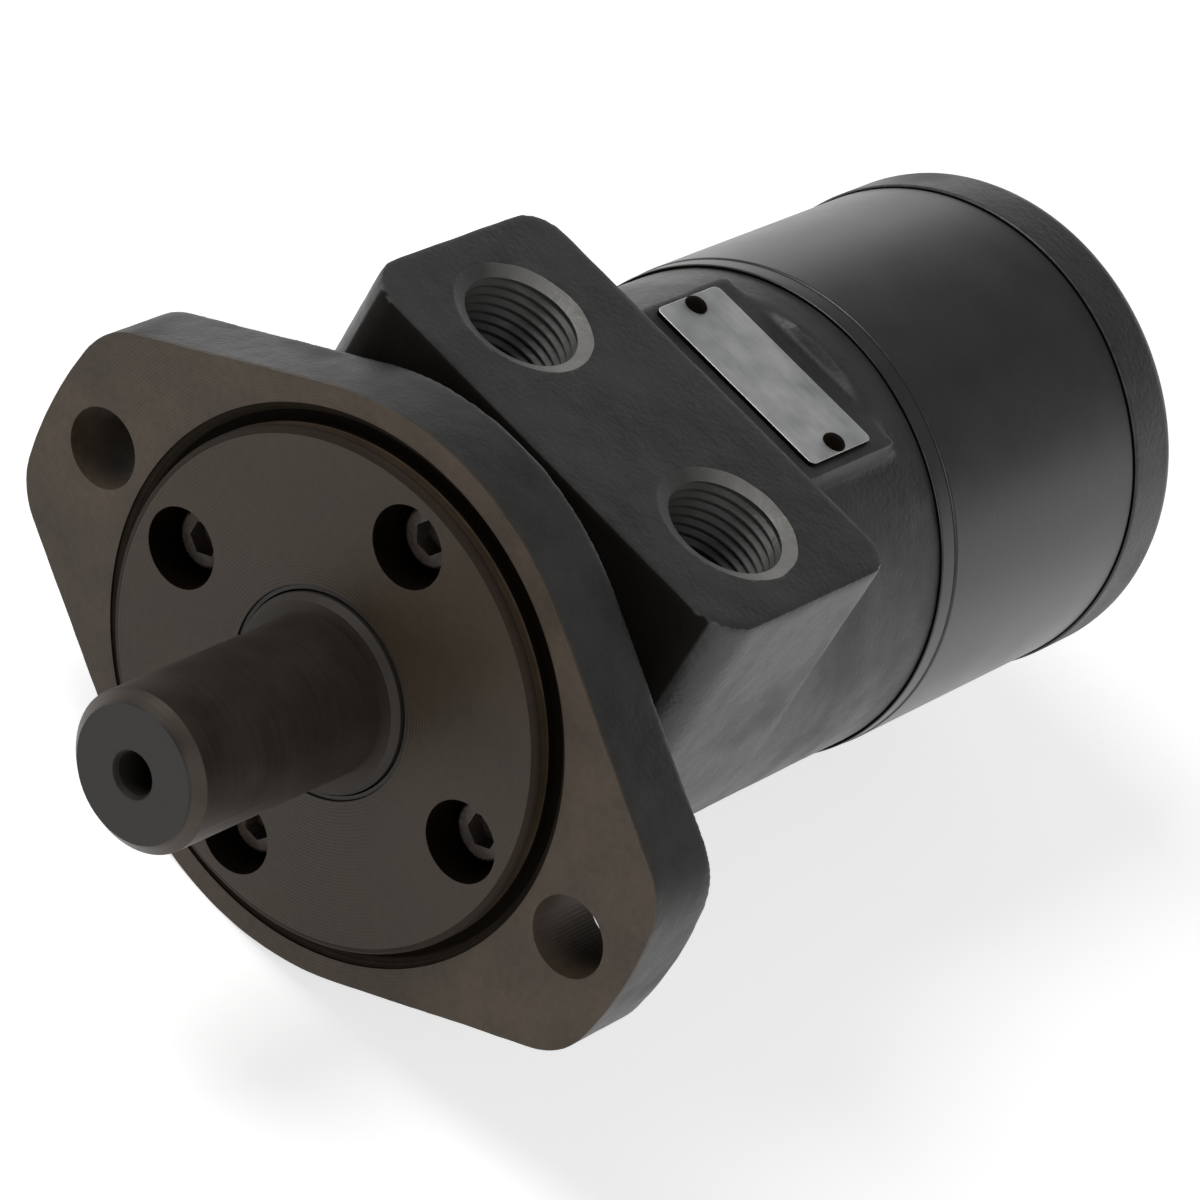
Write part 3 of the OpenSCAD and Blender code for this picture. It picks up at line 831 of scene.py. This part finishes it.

# %% [markdown]
# ## The housing
#
# The housing is one casting: a barrel, a boss for the ports, a neck behind the flange and a flat
# pad for the name plate. It gets a cast skin like the flange, and then the machined places: flat
# ends, the bore, and the two ports. Each port's countersunk mouth gets a painted highlight: it is
# painted bare and bright on one side. The gap between flange and boss gets painted shade: the neck
# and the boss's front face are painted dark.

# %% Rough casting
VOXEL, BARREL_R, NECK_R, BOSS_FRONT, BOSS_BACK = 0.78, 41.0, 38.5, 20.8, 65.4
FRONT_CORNER_R, BACK_CORNER_R = 9.0, 6.5
PAD_HALF, PAD_END = 20.0, 94.0
boss_half, boss_top, pad_top = housing_high.x, housing_high.z, plate_low.z
housing_back = housing_high.y

neck, barrel, above_pad, pad, boss = (bmesh.new() for _ in range(5))
bar(neck, NECK_R, flange_back - 2, BOSS_FRONT + 4, segments=160)
bar(barrel, BARREL_R, BOSS_FRONT, housing_back + 2, segments=192)
block(above_pad, (-PAD_HALF, BOSS_BACK - 4, pad_top), (PAD_HALF, PAD_END, pad_top + 20))
block(pad, (-PAD_HALF, BOSS_BACK - 8, 10), (PAD_HALF, PAD_END, pad_top))
block(boss, (-boss_half, BOSS_FRONT, 0), (boss_half, BOSS_BACK, boss_top))
for corner_y, corner_r in ((BOSS_FRONT, FRONT_CORNER_R), (BOSS_BACK, BACK_CORNER_R)):
    upright = [
        edge for edge in boss.edges
        if abs(middle(edge).y - corner_y) < 0.1 and abs(middle(edge).z - boss_top / 2) < 1
    ]
    bmesh.ops.bevel(boss, geom=upright, offset=corner_r, affect="EDGES", segments=8, profile=0.5, material=-1)

skin = as_cast(gather(neck, cut(barrel, above_pad), pad, boss), VOXEL, 5)
grime = skin.verts.layers.float["cast_grime"]
# Painted shade: the neck behind the flange and the boss's front face are painted dark.
for vertex in skin.verts:
    on_neck = vertex.co.y < BOSS_FRONT and math.hypot(vertex.co.x, vertex.co.z) < NECK_R + 1
    if on_neck or (vertex.co.y < BOSS_FRONT + 1.5 and vertex.normal.y < -0.6):
        vertex[grime] = 0.85

# %% Machining the housing
MOUTH_R, MOUTH_DEPTH, PORT_DEPTH, DRILL_TIP = 12.0, 1.1, 16.0, 3.5
BORE_R, RECESS_R, RECESS_END = 19.03, 24.0, 19.9
THREAD_PITCH, THREAD_RIDGE = 25.4 / 14, 0.62
OILWAY_R, OILWAYS = 3, (((-22, 40, 29), (-12, 36, 12)), ((22, 46, 29), (12, 63.5, 12)))

ends = bmesh.new()
block(ends, (-WELL_OUTSIDE, -WELL_OUTSIDE, -WELL_OUTSIDE), (WELL_OUTSIDE, flange_back, WELL_OUTSIDE))
block(ends, (-WELL_OUTSIDE, housing_back, -WELL_OUTSIDE), (WELL_OUTSIDE, 2 * housing_back, WELL_OUTSIDE))
bore = turned([
    (0, flange_back - PAST), (RECESS_R, flange_back - PAST), (RECESS_R, RECESS_END), (BORE_R, RECESS_END),
    (BORE_R, housing_back + PAST), (0, housing_back + PAST),
], 96)
mouth_floor, port_floor = boss_top - MOUTH_DEPTH, boss_top - PORT_DEPTH
root_r = port_r + THREAD_RIDGE
port_profile = [
    (0, port_floor - DRILL_TIP), (port_r, port_floor), (root_r, port_floor + 0.6),
    (root_r, mouth_floor - 0.4), (port_r, mouth_floor), (MOUTH_R, boss_top), (MOUTH_R + 0.6, boss_top + 0.25),
    (MOUTH_R + 0.6, boss_top + PAST), (0, boss_top + PAST),
]
ports = [turned(port_profile, 96, axis=(0, 0, 1)) for _ in range(2)]
for port, side in zip(ports, (-1, 1)):
    bmesh.ops.translate(port, vec=(side * port_x, port_y, 0), verts=port.verts)
oilways = bmesh.new()
for start, end in OILWAYS:
    start, end = Vector(start), Vector(end)
    tilt = (end - start).to_track_quat("Z", "Y").to_matrix().to_4x4()
    bmesh.ops.create_cone(
        oilways, cap_ends=True, segments=32, radius1=OILWAY_R, radius2=OILWAY_R, depth=(end - start).length,
        matrix=Matrix.Translation((start + end) / 2) @ tilt,
    )
housing = cut(skin, ends, bore, gather(*ports), oilways)
print("machined housing has", len(housing.faces), "faces")

# %% Bare metal and painted highlights in the ports
# Each mouth is painted bare and bright towards one side, a painted highlight. The hole and the thread are
# bare metal, painted a little lighter as painted light.
HIGHLIT_SIDE = Vector((0.6, 0.8, 0))
BARE_AWAY_FROM_HIGHLIGHT, BARE_WITH_HIGHLIGHT, BARE_AND_LIT_IN_HOLE, BARE_AND_LIT_ON_THREAD = 0.06, 0.9, 0.12, 0.17


def machined_housing(point):
    off_port = math.hypot(abs(point.x) - port_x, point.y - port_y)
    return (point.z > 0 and off_port < MOUTH_R + 0.3) or math.hypot(point.x, point.z) < RECESS_R + 1


def in_port_mouth(centre, normal):
    """How bare and bright the metal is: a painted highlight on one side of each mouth, a little in the hole.
    """
    out = Vector((centre.x - math.copysign(port_x, centre.x), centre.y - port_y, 0))
    if centre.z > mouth_floor - 0.02 and 0.3 < normal.z < 0.97 and out.length < MOUTH_R + 0.2:
        highlit = min(1, max(0, 0.5 + out.normalized().dot(HIGHLIT_SIDE)))
        return BARE_AWAY_FROM_HIGHLIGHT + (BARE_WITH_HIGHLIGHT - BARE_AWAY_FROM_HIGHLIGHT) * highlit
    in_hole = mouth_floor - PORT_DEPTH < centre.z < mouth_floor and out.length < root_r + 0.1
    return BARE_AND_LIT_IN_HOLE if in_hole else 0


freshly_cut(housing, machined_housing)
mark(housing, "machined", in_port_mouth)
piece("housing_casting", housing, "casing", "casting_paint", "valve_housing")

# %% [markdown]
# ## Threads in the ports
#
# A thread is a ridge that climbs as it goes round. The spin operator can do that: its dvec moves
# each step on along the axis. The ridge's section is a small triangle, and one turn climbs by one
# pitch, here 14 turns to the inch.

# %% Port threads
STEPS, TURNS = 40, 6.6


def thread(root, crest, pitch, start, turns, centre):
    """A ridge from the radius root in to crest, inside a hole along Z, climbing from the height start."""
    bm = bmesh.new()
    foot = root + 0.03
    corners = [(foot, -0.46), (crest, -0.08), (crest, 0.08), (foot, 0.46)]
    section = bm.faces.new([bm.verts.new((radius, 0, start + rise * pitch)) for radius, rise in corners])
    bmesh.ops.spin(
        bm, geom=[section, *section.edges, *section.verts], cent=(0, 0, 0), axis=(0, 0, 1),
        dvec=(0, 0, pitch / STEPS), angle=2 * math.pi * turns, steps=int(STEPS * turns), use_duplicate=False,
    )
    bmesh.ops.recalc_face_normals(bm, faces=bm.faces)
    bmesh.ops.translate(bm, vec=centre, verts=bm.verts)
    return bm


for label, side in (("a", -1), ("b", 1)):
    centre = (side * port_x, port_y, 0)
    ridge = thread(root_r, port_r, THREAD_PITCH, port_floor + 1.5, TURNS, centre)
    # The thread is bare metal, painted a little lighter as painted light.
    mark(ridge, "machined", lambda centre, normal: BARE_AND_LIT_ON_THREAD)
    piece("port_thread_" + label, ridge, "casing", "casting_paint")

# %% [markdown]
# ## Spacer, gerotor ring and end cap
#
# These three are clamped behind the housing by seven long screws. All are turned, so each starts
# as a spun profile that fills its node's box. The gerotor ring holds seven rollers in half-round
# pockets that open into its bore. The cap's rear edge is rounded, and its screw heads sit in
# counterbores.

# %% Spacer plate and gerotor ring
CHAMBERS, BODY_SCREW_R, LARGE_CLEAR_R, METER_R = 7, 34.0, 4.2, 24.4
SPACER_BORE_R, METER_HOLE_R = 13, 2
ROLLER_CIRCLE_R, POCKET_R, RING_BORE_R = 26.5, 5.05, 27.2
roller_angles = [2 * math.pi * index / CHAMBERS for index in range(CHAMBERS)]
screw_angles = [angle + math.pi / CHAMBERS for angle in roller_angles]


def disc(bore_r, low, high):
    """A disc that fills a node's box, with a bore or solid."""
    return turned([(bore_r, low.y), (high.x, low.y), (high.x, high.y), (bore_r, high.y)], 192)


def drill(hole_list, front, back):
    """Round cutters along Y: each is (radius, distance from the axis, angles, segments)."""
    bm = bmesh.new()
    for radius, distance, angles, segments in hole_list:
        for angle in angles:
            bar(bm, radius, front, back, distance * math.cos(angle), distance * math.sin(angle), segments)
    return bm


def on_rim(radius):
    """Accepts the edges that lie at least that far from the shaft's axis."""
    return lambda edge: math.hypot(middle(edge).x, middle(edge).z) > radius


def faces_front(centre, normal):
    """The thin front ledge of a disc that is wider than the piece in front of it. It gets painted shade."""
    return normal.y < -0.9


spacer = cut(disc(SPACER_BORE_R, spacer_low, spacer_high), drill(
    [(LARGE_CLEAR_R, BODY_SCREW_R, screw_angles, 48), (METER_HOLE_R, METER_R, screw_angles, 32)],
    spacer_low.y - PAST, spacer_high.y + PAST,
))
soften(spacer, 0.35, 3, keep=on_rim(spacer_high.x - 1), wear=0.4)
# The spacer's front ledge gets painted shade.
mark(spacer, "grime", faces_front)
piece("spacer_disc", spacer, "casing", "smooth_paint", "spacer_plate")

ring = cut(
    disc(RING_BORE_R, ring_low, ring_high),
    drill([(POCKET_R, ROLLER_CIRCLE_R, roller_angles, 64)], ring_low.y - PAST, ring_high.y + PAST),
    drill([(LARGE_CLEAR_R, BODY_SCREW_R, screw_angles, 48)], ring_low.y - PAST, ring_high.y + PAST),
)
soften(ring, 0.5, 3, keep=on_rim(ring_high.x - 1), wear=0.4)
piece("gerotor_housing_ring", ring, "casing", "smooth_paint", "gerotor_ring")

# %% End cap and its screws
CAP_ROUND, CAP_FRONT_ROUND, CAP_COUNTERBORE = 3.5, 0.6, 6
cap_screw_low, cap_screw_high = box_mm("end_cap_screws")
cap_seat = cap_high.y - CAP_COUNTERBORE
cap = disc(0, cap_low, cap_high)
soften(cap, CAP_ROUND, 6, keep=lambda edge: middle(edge).y > cap_high.y - 0.1, wear=0.0)
cap = cut(
    cap,
    drill([(COUNTERBORE_R, BODY_SCREW_R, screw_angles, 64)], cap_seat, cap_high.y + PAST),
    drill([(LARGE_CLEAR_R, BODY_SCREW_R, screw_angles, 48)], cap_low.y - PAST, cap_high.y),
)
soften(cap, CAP_FRONT_ROUND, 3, keep=on_rim(cap_high.x - 1), wear=0.5)
soften(cap, 0.3, 2, keep=lambda edge: middle(edge).y > cap_seat + 1, wear=0.5)
# The cap's front ledge gets painted shade.
mark(cap, "grime", faces_front)
piece("rear_cover", cap, "casing", "casting_paint", "end_cap")

cap_screw = socket_screw(cap_screw_high.y, cap_seat, cap_screw_low.y, 3.2, **LARGE_SCREW)
cap_screws = ring_of(cap_screw, screw_angles, BODY_SCREW_R)
piece("rear_cover_screws", cap_screws, "casing", "screw_steel", "end_cap_screws")

# %% [markdown]
# ## The name plate
#
# The plate is left bare. It is stamped from thin sheet, so its corners are cut round and its edges
# are rolled over a little. Two drive pins with domed heads hold it to the pad.

# %% Name plate and drive pins
PIN_X, PIN_Y, PIN_R, PIN_HEAD_R, PLATE_CORNER_R = 15.9, 80.4, 1.15, 1.9, 1.2

plate = bmesh.new()
block(plate, plate_low, plate_high)
upright = [e for e in plate.edges if abs(e.verts[0].co.z - e.verts[1].co.z) > 0.1]
bmesh.ops.bevel(
    plate, geom=upright, offset=PLATE_CORNER_R, affect="EDGES", segments=5, profile=0.5, material=-1,
)
soften(plate, 0.2, 3, keep=lambda edge: middle(edge).z > plate_high.z - 0.01)
pin_holes = bmesh.new()
for side in (-1, 1):
    place = Matrix.Translation((side * PIN_X, PIN_Y, plate_high.z))
    bmesh.ops.create_cone(
        pin_holes, cap_ends=True, segments=32, radius1=PIN_R + 0.05, radius2=PIN_R + 0.05, depth=4,
        matrix=place,
    )
# The plate's side edges and pin holes get painted shade.
plate = mark(cut(plate, pin_holes), "grime", lambda centre, normal: abs(normal.z) < 0.3)
piece("bare_name_plate", plate, "casing", "plate_metal", "name_plate")

pins_low, pins_high = box_mm("plate_pins")
dome = pins_high.z - plate_high.z
pin_profile = [
    (0, pins_low.z), (PIN_R, pins_low.z), (PIN_R, plate_high.z), (PIN_HEAD_R, plate_high.z),
    (PIN_HEAD_R, plate_high.z + dome * 0.25), (PIN_HEAD_R * 0.85, plate_high.z + dome * 0.6),
    (PIN_HEAD_R * 0.5, plate_high.z + dome * 0.93), (0, plate_high.z + dome),
]
pins = [turned(pin_profile, 32, axis=(0, 0, 1)) for _ in range(2)]
for pin, side in zip(pins, (-1, 1)):
    bmesh.ops.translate(pin, vec=(side * PIN_X, PIN_Y, 0), verts=pin.verts)
# The drive pins are painted dark all over as painted shade.
pins = mark(gather(*pins), "grime", lambda centre, normal: True)
piece("plate_drive_pins", pins, "casing", "screw_steel", "plate_pins")

# %% [markdown]
# ## Floor and light
#
# The floor is plain and almost white, and it keeps the motor's soft shadow. A black, satin surface
# shows mostly what it reflects. So the room matters more than the lamps: it is white low down and
# behind, and darker overhead and in front, which leaves the tops dark and the sides bright.

# %% Floor
FLOOR_HALF = 4.0


def floor_finish():
    finish = Finish("floor", Roughness=0.9, Specular_IOR_Level=0.0, Emission_Strength=1.0)
    finish.shader.inputs["Base Color"].default_value = (0.86, 0.86, 0.855, 1)
    paths = finish.node("ShaderNodeLightPath").socket.node.outputs
    seen, mirrored = Field(finish, paths["Is Camera Ray"]), Field(finish, paths["Is Glossy Ray"])
    finish.plug(finish.shader.inputs["Emission Color"], seen * 0.62 + mirrored * 0.75)
    return finish.material


floor_bm = bmesh.new()
bmesh.ops.create_grid(floor_bm, x_segments=1, y_segments=1, size=FLOOR_HALF)
bmesh.ops.translate(floor_bm, vec=(0, 0, cad_low.z), verts=floor_bm.verts)
floor_mesh = bpy.data.meshes.new("floor")
floor_bm.to_mesh(floor_mesh)
floor_bm.free()
floor_mesh.materials.append(floor_finish())
floor = bpy.data.objects.new("floor", floor_mesh)
bpy.context.scene.collection.objects.link(floor)
floor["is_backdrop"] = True
print("floor at", round(cad_low.z / MM, 1), "mm")

# %% Room and lamps
world = bpy.data.worlds.new("room")
world.use_nodes = True
bpy.context.scene.world = world


class Room(Finish):
    """The world's own nodes, written the same way as a finish."""

    def __init__(self, made_world):
        self.tree = made_world.node_tree
        self.place = self.node("ShaderNodeTexCoord", output="Generated")


room = Room(world)
direction = room.node("ShaderNodeSeparateXYZ", {}, {0: room.place}).socket.node.outputs
backwards, upwards = Field(room, direction["Y"]), Field(room, direction["Z"])
paths = room.node("ShaderNodeLightPath").socket.node.outputs
seen, mirrored = Field(room, paths["Is Camera Ray"]), Field(room, paths["Is Glossy Ray"])
overhead = upwards.step(0.05, 0.4)
in_front = backwards.step(0.1, -0.5)
shade = (1 - 0.85 * overhead - 0.7 * in_front * (1 - overhead)) * (1 + 0.35 * mirrored)
brightness = seen + (1 - seen) * shade
room.plug(world.node_tree.nodes["Background"].inputs["Strength"], brightness)
world.node_tree.nodes["Background"].inputs["Color"].default_value = (1, 1, 1, 1)


def lamp(name, place, target, size, power):
    data = bpy.data.lights.new(name, "AREA")
    data.shape, data.size, data.energy = "DISK", size, power
    made = bpy.data.objects.new(name, data)
    made.location = Vector(place)
    made.rotation_mode = "QUATERNION"
    made.rotation_quaternion = (Vector(target) - Vector(place)).to_track_quat("-Z", "Y")
    bpy.context.scene.collection.objects.link(made)
    print(name, "of", power, "W")


centre = (cad_low + cad_high) / 2
lamp("key", (-0.9, -0.5, 1.3), centre, 0.9, 14)
lamp("fill", (1.1, -0.9, 0.8), centre, 1.0, 6)

# %% The last checks
low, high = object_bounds()
inside = all(cad_low[i] - 1e-6 <= low[i] and high[i] <= cad_high[i] + 1e-6 for i in range(3))
print("visual box is inside the frame's box:", inside)
